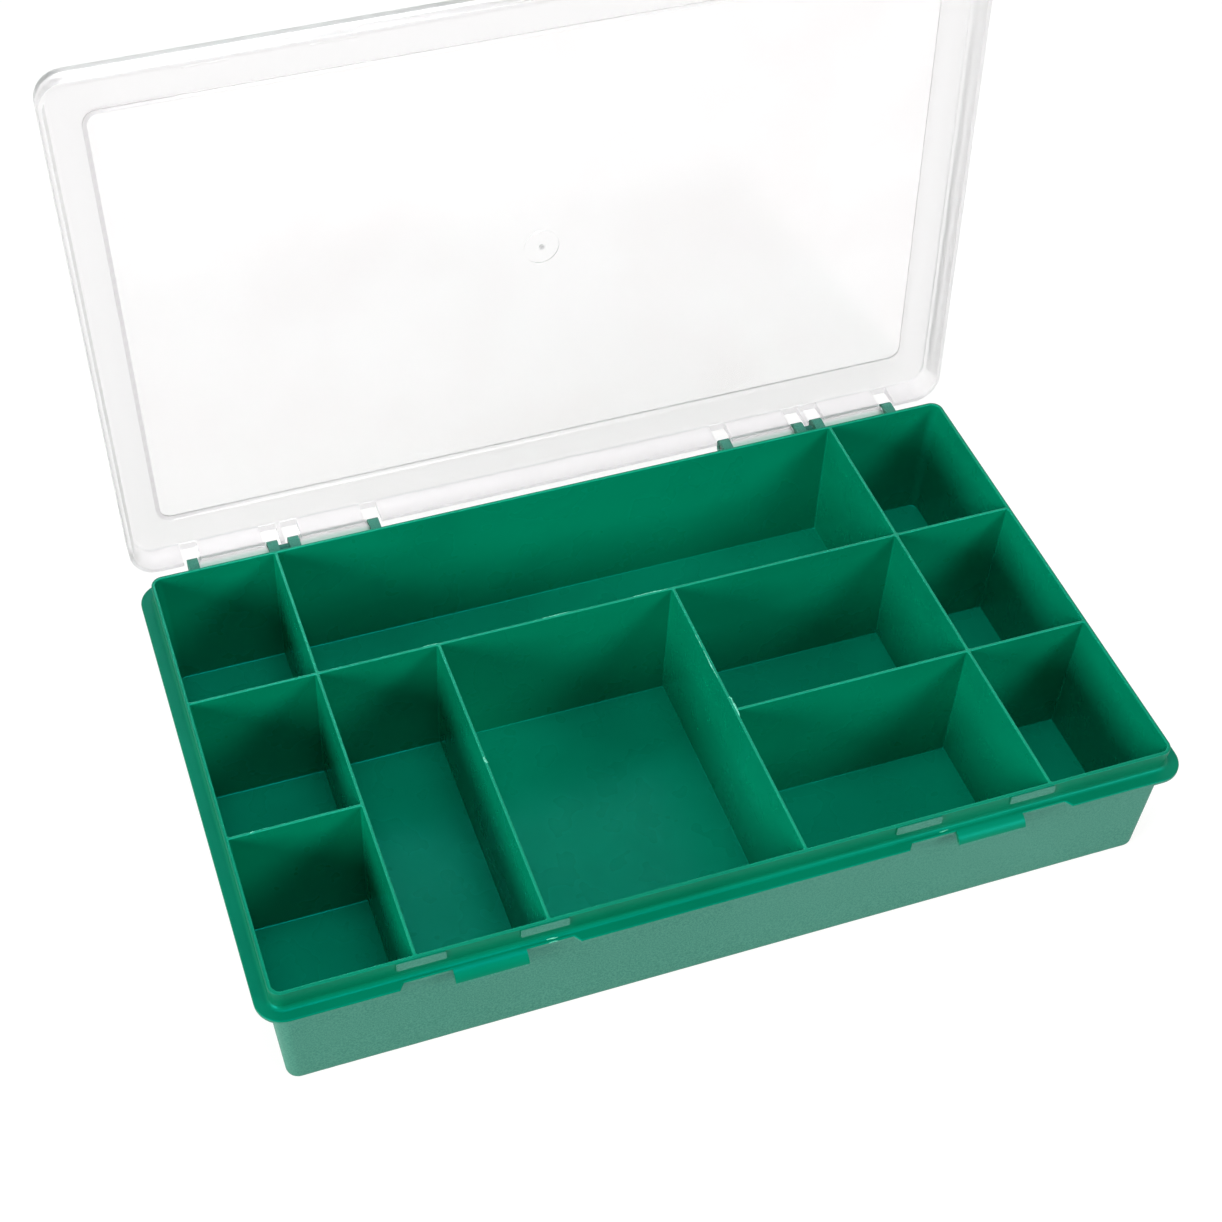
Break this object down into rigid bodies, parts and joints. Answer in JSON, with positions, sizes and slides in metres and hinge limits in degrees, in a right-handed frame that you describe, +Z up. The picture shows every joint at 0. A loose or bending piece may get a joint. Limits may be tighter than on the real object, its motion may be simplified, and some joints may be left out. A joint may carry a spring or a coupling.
{
  "type": "compartment storage box",
  "caption": "Flat rectangular sorting box: a green plastic tray with fixed compartments and a clear lid, hinged at the back and snapped shut at the front.",
  "frame": {"origin": "middle of the tray's footprint on the table", "axes": "+X along the long side, +Y towards the hinge, +Z up"},
  "size_m": [0.299, 0.2109, 0.2253],
  "materials": {
    "tray": "smooth green polypropylene inside, finely eroded outside",
    "lid": "clear polypropylene, slightly milky"
  },
  "bodies": {
    "tray": {"tray": "tray"},
    "lid": {"lid": "lid"}
  },
  "joints": [
    {"name": "lid_hinge", "type": "hinge", "parent": "tray", "child": "lid", "pos_m": [0, 0.0934, 0.0425], "axis": [1, 0, 0], "range_deg": [0, 95]}
  ]
}
